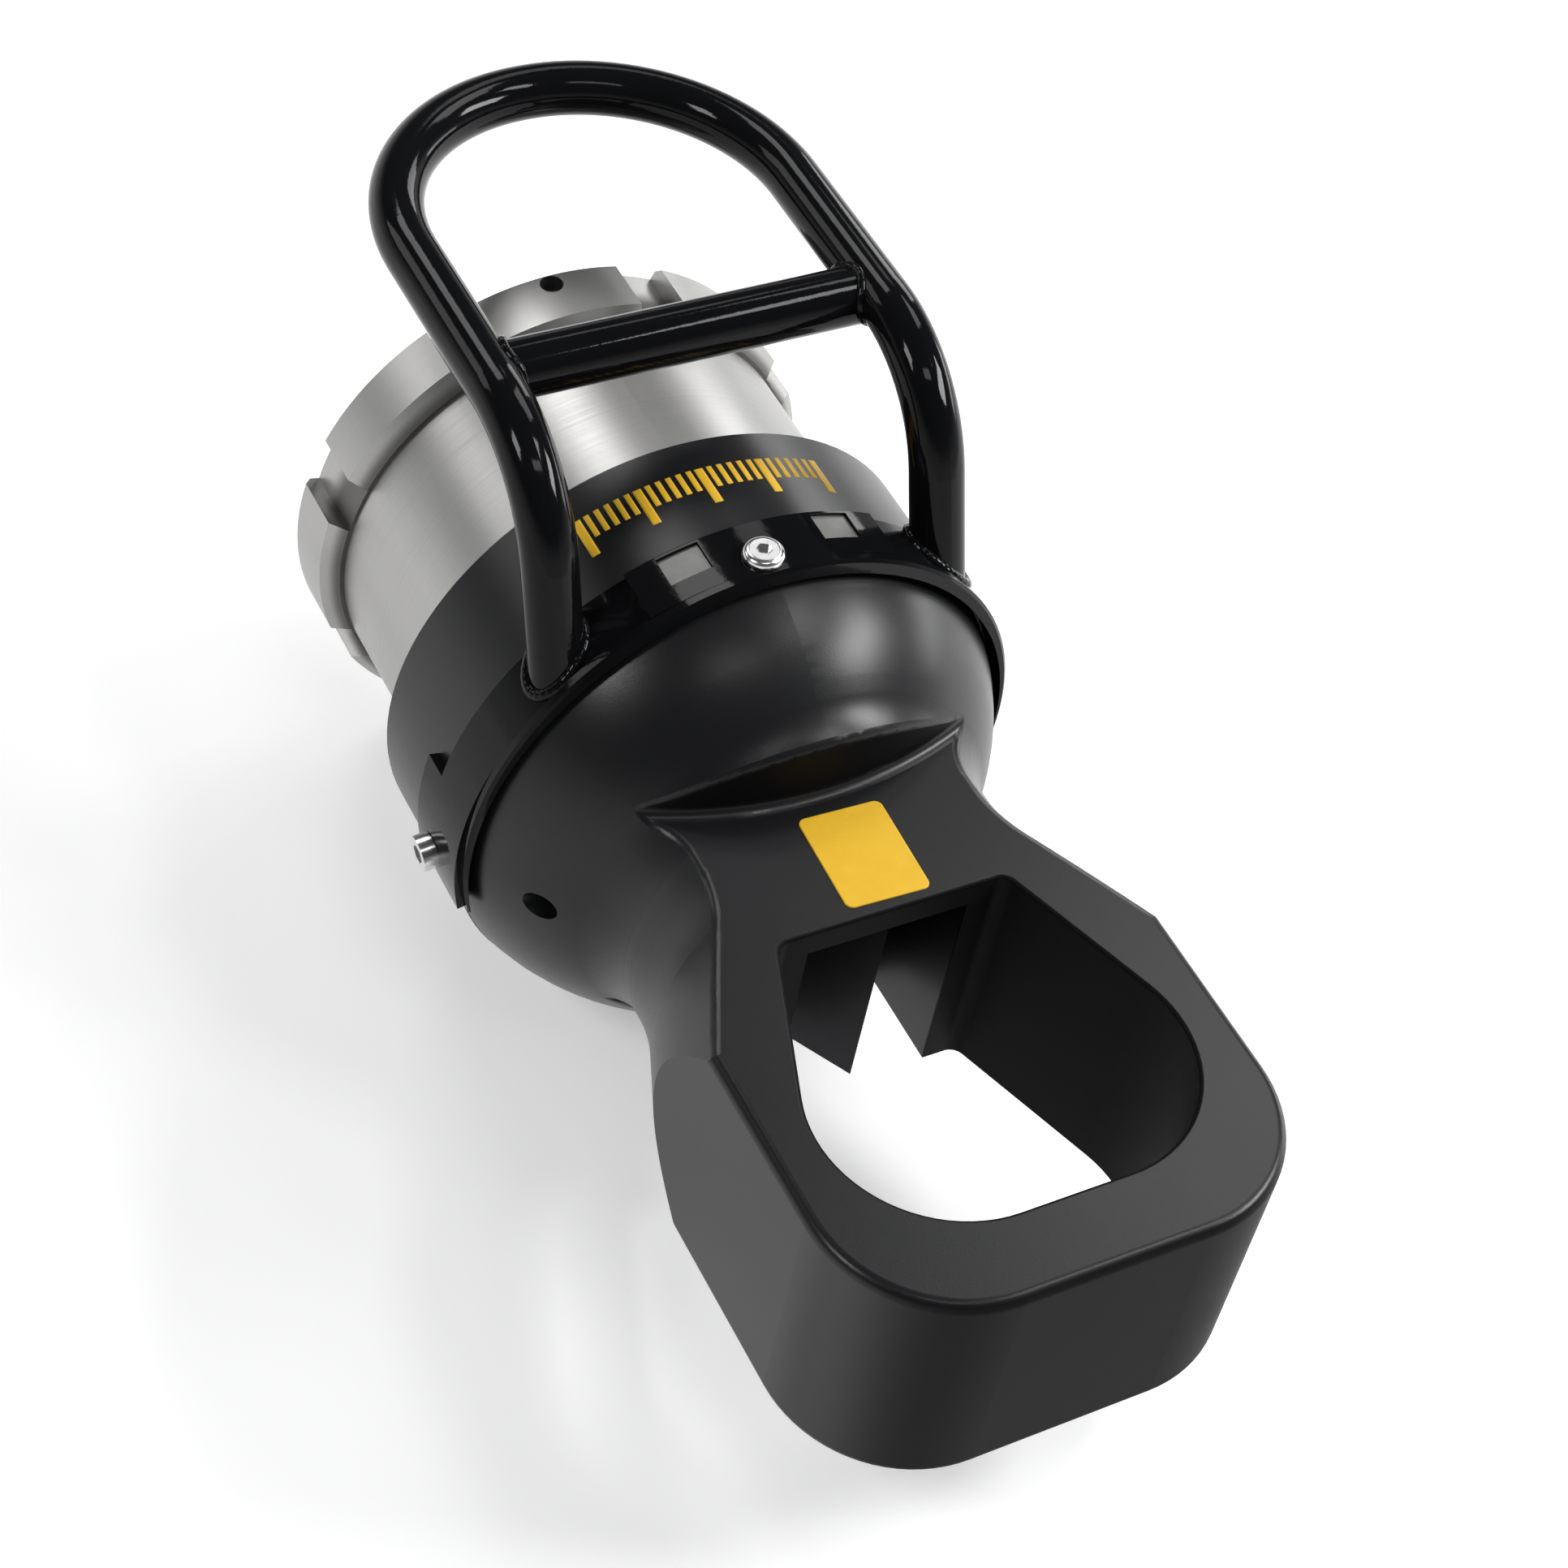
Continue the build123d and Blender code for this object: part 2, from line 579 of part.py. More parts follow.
def piston_nut():
    """Hexagon nut that holds the piston on the rod."""
    plan = RegularPolygon(PISTON_NUT_AF / 2, 6, major_radius=False) - Circle(PISTON_SPIGOT_R + SEATED_GAP)
    nut = Rot(0, 90, 0) * extrude(plan, PISTON_NUT_THICK)
    return Pos(SPRING_POCKET - PISTON_NUT_THICK, 0, 0) * nut


def ram_rod():
    """Rod with a rear spigot for the piston, a tapped front end and a keyway on its -Y side."""
    rod = bar(PISTON_FRONT, ROD_FRONT, ROD_R) + bar(PISTON_SPIGOT_REAR, PISTON_FRONT, PISTON_SPIGOT_R)
    tapped_end = ROD_FRONT - HOLDER_SCREW_DEPTH - 2 * SCREW_SPARE
    rod -= bar(tapped_end, ROD_FRONT + OVERCUT, HOLDER_SCREW_R + SEATED_GAP)
    key_half = GUIDE_DOG_R + KEYWAY_PLAY
    key_front = GUIDE_SCREW_X + key_half + SCREW_SPARE
    key_rear = GUIDE_SCREW_X - STROKE - key_half - SCREW_SPARE
    middle = (key_front + key_rear) / 2
    return rod - Pos(middle, -ROD_R, 0) * Box(key_front - key_rear, 2 * KEYWAY_DEPTH, 2 * key_half)


def blade_plan(grow):
    """Equilateral triangle of the blade, its front edge at X = 0, grown by a clearance."""
    depth = BLADE_SIDE * sqrt(3) / 2
    half = BLADE_SIDE / 2 + grow * sqrt(3)
    return make_face(Polyline((2 * grow, 0), (-depth - grow, half), (-depth - grow, -half), close=True))


def splitting_blade():
    """Triangular prism with three cutting edges."""
    return Pos(0, 0, BLADE_BOTTOM) * extrude(blade_plan(0), BLADE_TOP - BLADE_BOTTOM)


def blade_holder():
    """Round holder with an upright dovetail for the blade and a counterbore for its screw."""
    seat = -BLADE_SIDE * sqrt(3) / 2
    holder = bar(ROD_FRONT, HOLDER_FRONT, ROD_R)
    holder -= Pos(0, 0, -ROD_R - OVERCUT) * extrude(blade_plan(SEATED_GAP), 2 * (ROD_R + OVERCUT))
    holder -= bar(ROD_FRONT - OVERCUT, seat + OVERCUT, HOLDER_SCREW_R + SEATED_GAP)
    holder -= bar(seat - HOLDER_RECESS, seat + OVERCUT, HOLDER_SCREW_HEAD_R + HOLDER_HEAD_PLAY)
    return holder - radial_bar(seat + RETAINER_OFFSET, 180, 0, ROD_R + OVERCUT, RETAINER_R)


def holder_screw():
    """Socket screw that fastens the holder to the rod, behind the blade."""
    seat = -BLADE_SIDE * sqrt(3) / 2
    top = seat - SCREW_SPARE
    screw = bar(seat - HOLDER_RECESS, top, HOLDER_SCREW_HEAD_R)
    screw += bar(ROD_FRONT - HOLDER_SCREW_DEPTH, seat - HOLDER_RECESS, HOLDER_SCREW_R)
    socket = Rot(0, 90, 0) * extrude(RegularPolygon(HOLDER_SOCKET_R, 6), HOLDER_SOCKET_DEPTH + OVERCUT)
    return screw - Pos(top - HOLDER_SOCKET_DEPTH, 0, 0) * socket


def blade_retaining_screw():
    """Small set screw in the holder's -Y lip, bearing on the blade."""
    x = RETAINER_OFFSET - BLADE_SIDE * sqrt(3) / 2
    flank = (RETAINER_R - x) / sqrt(3) + 2 * SEATED_GAP
    return set_screw(x, 180, flank, ROD_R - SCREW_SPARE, RETAINER_R - SEATED_GAP)


def coil_points(count):
    """Points of the spring's centre line about X, with the heading at each, evenly spaced by angle."""
    start = SPRING_POCKET + SPRING_WIRE_R
    rise = SEAT_PLANE - SPRING_SEAT_THICK - SPRING_WIRE_R - start
    sweep_angle = 2 * pi * SPRING_TURNS
    points = []
    for i in range(count + 1):
        a = sweep_angle * i / count
        place = Vector(start + rise * i / count, SPRING_R * cos(a), SPRING_R * sin(a))
        heading = Vector(rise / sweep_angle, -SPRING_R * sin(a), SPRING_R * cos(a))
        points.append((place, heading.normalized()))
    return points


def return_spring():
    """Coil spring between the piston's pocket and the seat in the head, two tangent arcs a quarter turn."""
    points = coil_points(4 * SPRING_TURNS)
    arcs = []
    for (p0, t0), (p1, t1) in zip(points, points[1:]):
        chord = p1 - p0
        along = chord.dot(t0 + t1)
        turn = 2 * (1 - t0.dot(t1))
        reach = (sqrt(along ** 2 + turn * chord.dot(chord)) - along) / turn
        before = p0 + t0 * reach
        after = p1 - t1 * reach
        meet = (before + after) / 2
        arcs.append(TangentArc(p0, meet, tangent=t0))
        arcs.append(TangentArc(meet, p1, tangent=after - before))
    path = Wire(arcs)
    section = Plane(origin=points[0][0], z_dir=points[0][1]) * Circle(SPRING_WIRE_R)
    return sweep(section, path=path)


def coil_gap():
    """Least gap between turns of the spring, measured on points of its centre line."""
    per_turn = 24
    places = [place for place, heading in coil_points(per_turn * SPRING_TURNS)]
    apart = per_turn // 2
    gaps = [
        (q - p).length - 2 * SPRING_WIRE_R
        for i, p in enumerate(places)
        for q in places[i + apart:]
    ]
    return min(gaps)


def rod_guide_bush():
    """Bronze bush with a hole for the guide screw."""
    bush = ring(BUSH_REAR, BUSH_FRONT, BUSH_R - SEATED_GAP, ROD_R + SLIDING_GAP)
    return bush - radial_bar(GUIDE_SCREW_X, 180, 0, BUSH_R + OVERCUT, GUIDE_SCREW_R + GUIDE_SCREW_PLAY)


def port_adapter():
    """Fitting with a hexagon, screwed into the centre of the rear cap."""
    thread = bar(CAP_REAR, CAP_REAR + THREAD_LENGTH, INLET_R - SEATED_GAP)
    hexagon = Pos(HEX_REAR, 0, 0) * Rot(0, 90, 0) * extrude(
        RegularPolygon(HEX_AF / 2, 6, major_radius=False), CAP_REAR - HEX_REAR
    )
    nose = bar(COUPLER_FRONT, HEX_REAR, INLET_R)
    return thread + hexagon + nose - bar(COUPLER_FRONT - OVERCUT, CAP_REAR + INLET_DEPTH, OIL_WAY_R)


def coupler_body():
    """Coupler half with a flange, a groove for the snap ring, a nose bore and a valve chamber."""
    bore_end = COUPLER_REAR + COUPLER_BORE_DEPTH
    flange_rear = COUPLER_FRONT - FLANGE_THICK
    groove = COLLAR_REAR - COLLAR_PLAY
    groove_rear = groove - SNAP_RING_WIDTH - 2 * SNAP_RING_PLAY
    return turned([
        (COUPLER_REAR, COUPLER_BORE_R),
        (bore_end, COUPLER_BORE_R),
        (bore_end, VALVE_SEAT_R),
        (bore_end + VALVE_SEAT_THICK, VALVE_SEAT_R),
        (bore_end + VALVE_SEAT_THICK, VALVE_CHAMBER_R),
        (COUPLER_FRONT, VALVE_CHAMBER_R),
        (COUPLER_FRONT, COUPLER_FLANGE_R),
        (flange_rear, COUPLER_FLANGE_R),
        (flange_rear, COUPLER_R),
        (groove, COUPLER_R),
        (groove, COUPLER_R - SNAP_RING_DEPTH),
        (groove_rear, COUPLER_R - SNAP_RING_DEPTH),
        (groove_rear, COUPLER_R),
        (COUPLER_REAR + COUPLER_CHAMFER, COUPLER_R),
        (COUPLER_REAR, COUPLER_R - COUPLER_CHAMFER),
    ])


def coupler_snap_ring():
    """Ring that keeps the sleeve on the coupler body."""
    front = COLLAR_REAR - COLLAR_PLAY - SNAP_RING_PLAY
    inner = COUPLER_R - SNAP_RING_DEPTH + SNAP_RING_PLAY
    return ring(front - SNAP_RING_WIDTH, front, COUPLER_R + SNAP_RING_RISE, inner)


def coupler_collar():
    """Sleeve that turns on the coupler body."""
    inner = COUPLER_R + SLIDING_GAP
    return turned([
        (COLLAR_REAR, inner),
        (COLLAR_FRONT, inner),
        (COLLAR_FRONT, COLLAR_R - COLLAR_CHAMFER),
        (COLLAR_FRONT - COLLAR_CHAMFER, COLLAR_R),
        (COLLAR_REAR + COLLAR_CHAMFER, COLLAR_R),
        (COLLAR_REAR, COLLAR_R - COLLAR_CHAMFER),
    ])


def coupler_poppet():
    """Check valve poppet in the coupler's chamber."""
    seat = COUPLER_REAR + COUPLER_BORE_DEPTH + VALVE_SEAT_THICK + POPPET_GAP
    end = seat + POPPET_LENGTH
    return turned([
        (seat, 0),
        (seat, POPPET_TIP_R),
        (seat + POPPET_TAPER, POPPET_R),
        (end, POPPET_R),
        (end, 0),
    ])


handle = handle_loop()
piston_seal, piston_backup_ring, piston_guide_ring = piston_rings()
wiper_play = 2 * SEATED_GAP

pieces = {
    "cutting_head": cutting_head(),
    "cylinder_barrel": ring(BARREL_REAR, BARREL_STOP, BARREL_R, BORE_R),
    "rear_cap": rear_cap(),
    "rear_cap_o_ring": rear_cap_o_ring(),
    "bleed_screw": bleed_screw(),
    "port_adapter": port_adapter(),
    "coupler_body": coupler_body(),
    "coupler_snap_ring": coupler_snap_ring(),
    "coupler_poppet": coupler_poppet(),
    "coupler_collar": coupler_collar(),
    "rod_guide_bush": rod_guide_bush(),
    "rod_wiper": ring(
        WIPER_REAR + wiper_play, WIPER_FRONT - wiper_play, BUSH_R - SEATED_GAP, ROD_R + SLIDING_GAP
    ),
    "spring_seat": ring(
        SEAT_PLANE - SPRING_SEAT_THICK, SEAT_PLANE, SPRING_SEAT_OUTER_R, SPRING_SEAT_INNER_R
    ),
    "guide_screw": guide_screw(),
    "handle_bracket": handle_bracket(),
    "scale_plates": scale_plates(),
    "bracket_top_screw": top_screw(),
    "bracket_end_screws": Compound([end_screw(angle) for angle in END_SCREW_ANGLES]),
    "handle_loop": handle,
    "handle_crossbar": handle_crossbar(handle),
    "piston": piston(),
    "piston_seal": piston_seal,
    "piston_backup_ring": piston_backup_ring,
    "piston_guide_ring": piston_guide_ring,
    "piston_nut": piston_nut(),
    "ram_rod": ram_rod(),
    "blade_holder": blade_holder(),
    "holder_screw": holder_screw(),
    "splitting_blade": splitting_blade(),
    "blade_retaining_screw": blade_retaining_screw(),
    "return_spring": return_spring(),
}
print(f"least gap between turns of the return spring: {coil_gap():.2f} mm")

# The origin is below the middle of the tool's length, on the surface that the skirt lies on
handle_end = HANDLE_BOW_CENTRE - HANDLE_HALF_WIDTH - HANDLE_BAR_R
to_origin = Pos(-(LOOP_TIP + handle_end) / 2, 0, SKIRT_R)

os.makedirs("parts", exist_ok=True)
for name, piece in pieces.items():
    export_step(piece.moved(to_origin), f"parts/{name}.step")
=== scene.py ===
import json
import math

import bmesh
import bpy
import numpy as np
from mathutils import Matrix, Vector


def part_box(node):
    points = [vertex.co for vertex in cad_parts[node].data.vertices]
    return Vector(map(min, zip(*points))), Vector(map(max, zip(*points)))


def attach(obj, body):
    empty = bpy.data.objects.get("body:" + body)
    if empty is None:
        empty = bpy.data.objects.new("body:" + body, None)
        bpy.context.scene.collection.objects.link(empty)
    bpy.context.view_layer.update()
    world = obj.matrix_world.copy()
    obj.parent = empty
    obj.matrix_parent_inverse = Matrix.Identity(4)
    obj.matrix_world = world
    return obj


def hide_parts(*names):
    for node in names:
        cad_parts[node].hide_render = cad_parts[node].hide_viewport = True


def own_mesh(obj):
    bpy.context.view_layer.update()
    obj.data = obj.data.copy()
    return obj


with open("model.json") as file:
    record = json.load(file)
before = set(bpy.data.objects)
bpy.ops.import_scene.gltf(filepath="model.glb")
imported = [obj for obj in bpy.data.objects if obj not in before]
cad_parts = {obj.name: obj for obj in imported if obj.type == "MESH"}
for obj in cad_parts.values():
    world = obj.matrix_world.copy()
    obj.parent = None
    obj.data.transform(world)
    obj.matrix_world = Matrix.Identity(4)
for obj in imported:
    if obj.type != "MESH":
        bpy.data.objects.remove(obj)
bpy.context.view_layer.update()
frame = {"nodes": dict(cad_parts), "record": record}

# Hydraulic nut splitter, in metres, in the frame of the solids: X along the ram towards the loop, Z up.
MM = 0.001
TURN = 2 * math.pi

# Boxes of the solids that the places below are taken from
BARREL_LOW, BARREL_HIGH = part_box("cylinder_barrel")
BLADE_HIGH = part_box("splitting_blade")[1]
HANDLE_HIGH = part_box("handle_loop")[1]
CROSSBAR_LOW, CROSSBAR_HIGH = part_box("handle_crossbar")
CAP_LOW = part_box("rear_cap")[0]

# Head: the ram's axis, the near wall of the nut opening, the step behind the plate, the flats and the skirt
AXIS_Z = (BARREL_LOW.z + BARREL_HIGH.z) / 2
OPENING_X = BLADE_HIGH.x
OPENING_MIDDLE_X = OPENING_X + 55.5 * MM
LOOP_FRONT_X = OPENING_X + 77.7 * MM
STEP_X = OPENING_X - 49.4 * MM
FLAT_HALF = 44.0 * MM
LOOP_TOP_Z = AXIS_Z + FLAT_HALF
SKIRT_R = AXIS_Z

# Rear cap and ram
SLOT_FLOOR_R = 84.6 * MM

# Handle, its strap and its welds
STRAP_R = 100.0 * MM
HANDLE_BAR_R = 9.0 * MM
HANDLE_LEAN = 0.385
HANDLE_Y = HANDLE_HIGH.y - HANDLE_BAR_R
HANDLE_Z = HANDLE_HIGH.z - HANDLE_BAR_R
FOOT_X = OPENING_X - 107.6 * MM
FOOT_Z = AXIS_Z + 78.0 * MM
CROSSBAR_X = (CROSSBAR_LOW.x + CROSSBAR_HIGH.x) / 2
CROSSBAR_Z = (CROSSBAR_LOW.z + CROSSBAR_HIGH.z) / 2
CROSSBAR_R = (CROSSBAR_HIGH.z - CROSSBAR_LOW.z) / 2
FOOT_BEAD_R = 2.2 * MM
CROSSBAR_BEAD_R = 1.6 * MM
BEAD_RIPPLE = 0.025
BEAD_POINTS = 140

# Camera of the photograph
CAMERA_PLACE = Vector((601.8, -428.7, 906.9)) * MM
CAMERA_FORWARD = Vector((-0.55007, 0.40144, -0.73231))
CAMERA_ROLL = math.radians(12.26)
CAMERA_LENS = 77.31
CAMERA_SENSOR = 36.0

# Studio
FLOOR_HALF = 6.0
LAMP_DISTANCE = 1.9


class Wire:
    """One output of a shader node. Arithmetic on wires and numbers adds Math nodes."""

    def __init__(self, finish, socket):
        self.finish = finish
        self.socket = socket

    def __add__(self, other):
        return self.finish.math("ADD", self, other)

    def __sub__(self, other):
        return self.finish.math("SUBTRACT", self, other)

    def __rsub__(self, other):
        return self.finish.math("SUBTRACT", other, self)

    def __mul__(self, other):
        return self.finish.math("MULTIPLY", self, other)

    def __pow__(self, other):
        return self.finish.math("POWER", self, other)

    __radd__ = __add__
    __rmul__ = __mul__

    def step(self, low, high):
        """Smooth step from 0 below low to 1 above high."""
        settings = {"interpolation_type": "SMOOTHSTEP"}
        inputs = {"Value": self, "From Min": low, "From Max": high}
        return self.finish.node("ShaderNodeMapRange", settings, inputs)


class Finish:
    """The nodes of a material, or of the world, under construction."""

    def __init__(self, name, kind=bpy.data.materials):
        self.material = kind.new(name)
        self.material.use_nodes = True
        self.tree = self.material.node_tree
        self.tree.nodes.clear()
        self.place = self.node("ShaderNodeTexCoord", {}, {}, "Object")

    def node(self, kind, settings, inputs, output=0):
        """Adds a node of any kind: settings first, then the value or wire of each input; gives one output."""
        made = self.tree.nodes.new(kind)
        for key, value in settings.items():
            setattr(made, key, value)
        for key, value in inputs.items():
            if isinstance(value, Wire):
                self.tree.links.new(value.socket, made.inputs[key])
            else:
                made.inputs[key].default_value = value
        return Wire(self, made.outputs[output]) if made.outputs else None

    def math(self, operation, a, b):
        """A Math node on two wires or numbers."""
        return self.node("ShaderNodeMath", {"operation": operation}, {0: a, 1: b})

    def scaled(self, x, y, z):
        """Object coordinates multiplied by a factor for each axis."""
        return self.node("ShaderNodeMapping", {}, {"Vector": self.place, "Scale": (x, y, z)})

    def split(self, vector):
        """The three parts of a vector."""
        parts = self.node("ShaderNodeSeparateXYZ", {}, {"Vector": vector}).socket.node
        return [Wire(self, socket) for socket in parts.outputs]

    def about_axis(self):
        """Place along the ram's axis, and distance from it."""
        x, y, z = self.split(self.place)
        rise = z - AXIS_Z
        return x, (y * y + rise * rise) ** 0.5

    def turning(self, along, outward):
        """Place along the axis and distance from it, each multiplied by a factor, for turning marks."""
        x, radius = self.about_axis()
        return self.node("ShaderNodeCombineXYZ", {}, {"X": x * along, "Y": radius * outward})

    def noise(self, place, scale=1.0, detail=3.0, rough=0.55):
        """Noise from 0 to 1, with that many features in a unit of the place."""
        inputs = {"Vector": place, "Scale": scale, "Detail": detail, "Roughness": rough}
        return self.node("ShaderNodeTexNoise", {}, inputs, "Fac")

    def colour(self, mask, low, high):
        """Colour that goes from low to high as the mask goes from 0 to 1."""
        return self.node("ShaderNodeMix", {"data_type": "RGBA"}, {0: mask, 6: low, 7: high}, 2)

    def bump(self, height, distance, strength):
        """Normal of a surface raised by the height times the distance."""
        inputs = {"Height": height, "Distance": distance, "Strength": strength}
        return self.node("ShaderNodeBump", {}, inputs)

    def principled(self, **sockets):
        """A Principled BSDF; a socket's name has _ for each space."""
        inputs = {key.replace("_", " "): value for key, value in sockets.items()}
        return self.node("ShaderNodeBsdfPrincipled", {}, inputs)

    def end(self, shader, output="ShaderNodeOutputMaterial"):
        """Puts a shader on the output, and gives what was made."""
        self.node(output, {}, {"Surface": shader})
        return self.material

    def surface(self, **sockets):
        """Ends the material in one Principled BSDF."""
        return self.end(self.principled(**sockets))


def rgb(r, g, b):
    """Colour with full alpha."""
    return (r, g, b, 1.0)


def satin_black():
    """Satin black coating on a forging: fine orange peel, slow change of gloss, a trace of dust.

    The walls of the nut opening, of the step behind the plate and of the loop's front get painted shade:
    a darker base with weak, dull gloss is mixed in there. Walls of the opening lie past its near wall and
    face its middle, those of the step lie further out than the flats and face along the ram, and the front
    lies far past the opening's middle and faces along the ram.
    """
    f = Finish("satin_black")
    x, y, z = f.split(f.place)
    face_x, face_y, _ = f.split(f.node("ShaderNodeNewGeometry", {}, {}, "Normal"))

    inward = face_x * (OPENING_MIDDLE_X - x) - face_y * y
    past_wall = x.step(OPENING_X - 1.5 * MM, OPENING_X - 0.5 * MM)
    opening = inward.step(3 * MM, 12 * MM) * past_wall

    rise = ((z - AXIS_Z) ** 2) ** 0.5
    past_flat = rise.step(FLAT_HALF + 0.4 * MM, FLAT_HALF + 2.5 * MM)
    past_dome = x.step(STEP_X - 14 * MM, STEP_X - 10 * MM)
    step = past_flat * face_x.step(0.86, 0.96) * past_dome

    past_middle = x.step(LOOP_FRONT_X, LOOP_FRONT_X + 16.65 * MM)
    front = face_x.step(0.35, 0.95) * past_middle

    peel = f.noise(f.place, scale=1400, detail=2.0)
    slow = f.noise(f.place, scale=16, detail=4.0)
    fine = f.noise(f.place, scale=5200, detail=2.0)
    dust = f.noise(f.place, scale=900, detail=5.0, rough=0.7).step(0.66, 0.82)
    base = f.colour(slow, rgb(0.0064, 0.0066, 0.0076), rgb(0.0100, 0.0102, 0.0115))
    base = f.colour(dust * 0.35, base, rgb(0.035, 0.035, 0.036))
    grain = f.bump(peel * 0.7 + fine * 0.3, distance=0.04 * MM, strength=0.6)
    satin = f.principled(
        Base_Color=base,
        Roughness=0.25 + slow * 0.06 + fine * 0.05,
        Specular_IOR_Level=0.32,
        Normal=grain,
    )
    # Painted shade: darker base and weak, dull gloss for the opening's walls, the step's wall and the loop's
    # front
    painted_shade = f.principled(
        Base_Color=f.colour(slow, rgb(0.0040, 0.0041, 0.0046), rgb(0.0064, 0.0065, 0.0072)),
        Roughness=0.46 + slow * 0.06 + fine * 0.08,
        Specular_IOR_Level=0.06,
        Normal=grain,
    )
    # The mix puts the painted shade on the opening, step and front; the rest stays satin
    return f.end(f.node("ShaderNodeMixShader", {}, {0: opening + step + front, 1: satin, 2: painted_shade}))


def gloss_black():
    """Gloss black paint on bent bar: deep coat, faint orange peel, hair scratches that dull it a little."""
    f = Finish("gloss_black")
    peel = f.noise(f.place, scale=330, detail=2.0)
    haze = f.noise(f.place, scale=40, detail=4.0)
    scratch = f.noise(f.scaled(60, 900, 900), detail=5.0, rough=0.7).step(0.62, 0.78)
    return f.surface(
        Base_Color=f.colour(haze, rgb(0.0032, 0.0034, 0.0040), rgb(0.0054, 0.0056, 0.0062)),
        Roughness=0.05 + haze * 0.05 + scratch * 0.10,
        Specular_IOR_Level=0.14,
        Normal=f.bump(peel, distance=0.05 * MM, strength=0.5),
    )


def nickel_plate(name, slot_floor=None):
    """Satin nickel on turned steel: fine lines round the axis, long soft streaks, a few dull patches.

    With a slot floor's radius, what lies that deep in the front half of the cap is rougher and darker; the
    darkening is painted shade on the slot floors and on the low part of the cap's front face.
    """
    f = Finish(name)
    lines = f.noise(f.turning(5200, 1800), detail=4.0, rough=0.65)
    rings = f.noise(f.turning(900, 420), detail=3.0, rough=0.6)
    streak = f.noise(f.scaled(9, 60, 60), detail=4.0)
    patch = f.noise(f.place, scale=22, detail=5.0)
    base = f.colour(streak, rgb(0.34, 0.335, 0.325), rgb(0.44, 0.437, 0.43))
    base = f.colour(patch.step(0.55, 0.8) * 0.35, base, rgb(0.30, 0.295, 0.285))
    base = f.colour(rings.step(0.4, 0.75) * 0.16, base, rgb(0.27, 0.265, 0.255))
    rough = 0.22 + lines * 0.12 + patch * 0.08 + rings * 0.10
    if slot_floor:
        # Painted shade: darker base on what lies deep in the front half of the cap; the added roughness is
        # real
        x, radius = f.about_axis()
        deep = 1 - radius.step(slot_floor + 0.8 * MM, slot_floor + 4.5 * MM)
        slot = deep * x.step(CAP_LOW.x + 8 * MM, CAP_LOW.x + 16 * MM)
        base = f.colour(slot * (0.7 + patch * 0.3), base, rgb(0.085, 0.082, 0.078))
        rough = rough + slot * 0.12
    return f.surface(
        Base_Color=base,
        Metallic=1.0,
        Roughness=rough,
        Normal=f.bump(lines + rings * 2, distance=0.01 * MM, strength=0.5),
    )


def turned_metal(name, low, high, rough, line_scale=4200):
    """Bare or plated turned metal: fine lines round X, slow change of tone, small dull spots."""
    f = Finish(name)
    lines = f.noise(f.turning(line_scale, 0.4 * line_scale), detail=4.0, rough=0.65)
    tone = f.noise(f.place, scale=60, detail=4.0)
    spots = f.noise(f.place, scale=700, detail=4.0, rough=0.7).step(0.64, 0.8)
    base = f.colour(tone, rgb(*low), rgb(*high))
    return f.surface(
        Base_Color=f.colour(spots * 0.3, base, rgb(*[part * 0.6 for part in low])),
        Metallic=1.0,
        Roughness=rough + lines * 0.12 + spots * 0.1,
        Normal=f.bump(lines, distance=0.012 * MM, strength=0.5),
    )


def brushed_plate():
    """Bare aluminium plate, brushed along the tool."""
    f = Finish("bare_plate")
    lines = f.noise(f.scaled(120, 5200, 5200), detail=4.0, rough=0.7)
    tone = f.noise(f.place, scale=220, detail=3.0)
    return f.surface(
        Base_Color=f.colour(tone, rgb(0.20, 0.20, 0.195), rgb(0.28, 0.28, 0.27)),
        Metallic=1.0,
        Roughness=0.42 + lines * 0.18,
        Normal=f.bump(lines, distance=0.01 * MM, strength=0.6),
    )


def seal_rubber():
    """Black seal rubber with a fine bloom."""
    f = Finish("seal_rubber")
    bloom = f.noise(f.place, scale=300, detail=5.0, rough=0.65)
    return f.surface(
        Base_Color=f.colour(bloom, rgb(0.012, 0.012, 0.012), rgb(0.030, 0.030, 0.029)),
        Roughness=0.62 + bloom * 0.2,
        Normal=f.bump(bloom, distance=0.04 * MM, strength=0.5),
    )


def white_ring():
    """Off-white low-friction plastic with turning lines."""
    f = Finish("white_ring")
    lines = f.noise(f.scaled(3000, 20, 20), detail=3.0)
    tone = f.noise(f.place, scale=120, detail=4.0)
    return f.surface(
        Base_Color=f.colour(tone, rgb(0.66, 0.64, 0.57), rgb(0.78, 0.77, 0.72)),
        Roughness=0.42 + lines * 0.15,
        Normal=f.bump(lines, distance=0.02 * MM, strength=0.4),
    )


def yellow_enamel(name):
    """Yellow enamel: slightly uneven print with small scuffs."""
    f = Finish(name)
    tone = f.noise(f.place, scale=180, detail=5.0)
    scuff = f.noise(f.place, scale=1500, detail=6.0, rough=0.75).step(0.66, 0.76)
    base = f.colour(tone, rgb(0.70, 0.40, 0.016), rgb(0.81, 0.50, 0.030))
    return f.surface(
        Base_Color=f.colour(scuff * 0.45, base, rgb(0.40, 0.22, 0.02)),
        Roughness=0.36 + scuff * 0.25 + tone * 0.05,
        Specular_IOR_Level=0.25,
        Normal=f.bump(tone, distance=0.03 * MM, strength=0.4),
    )


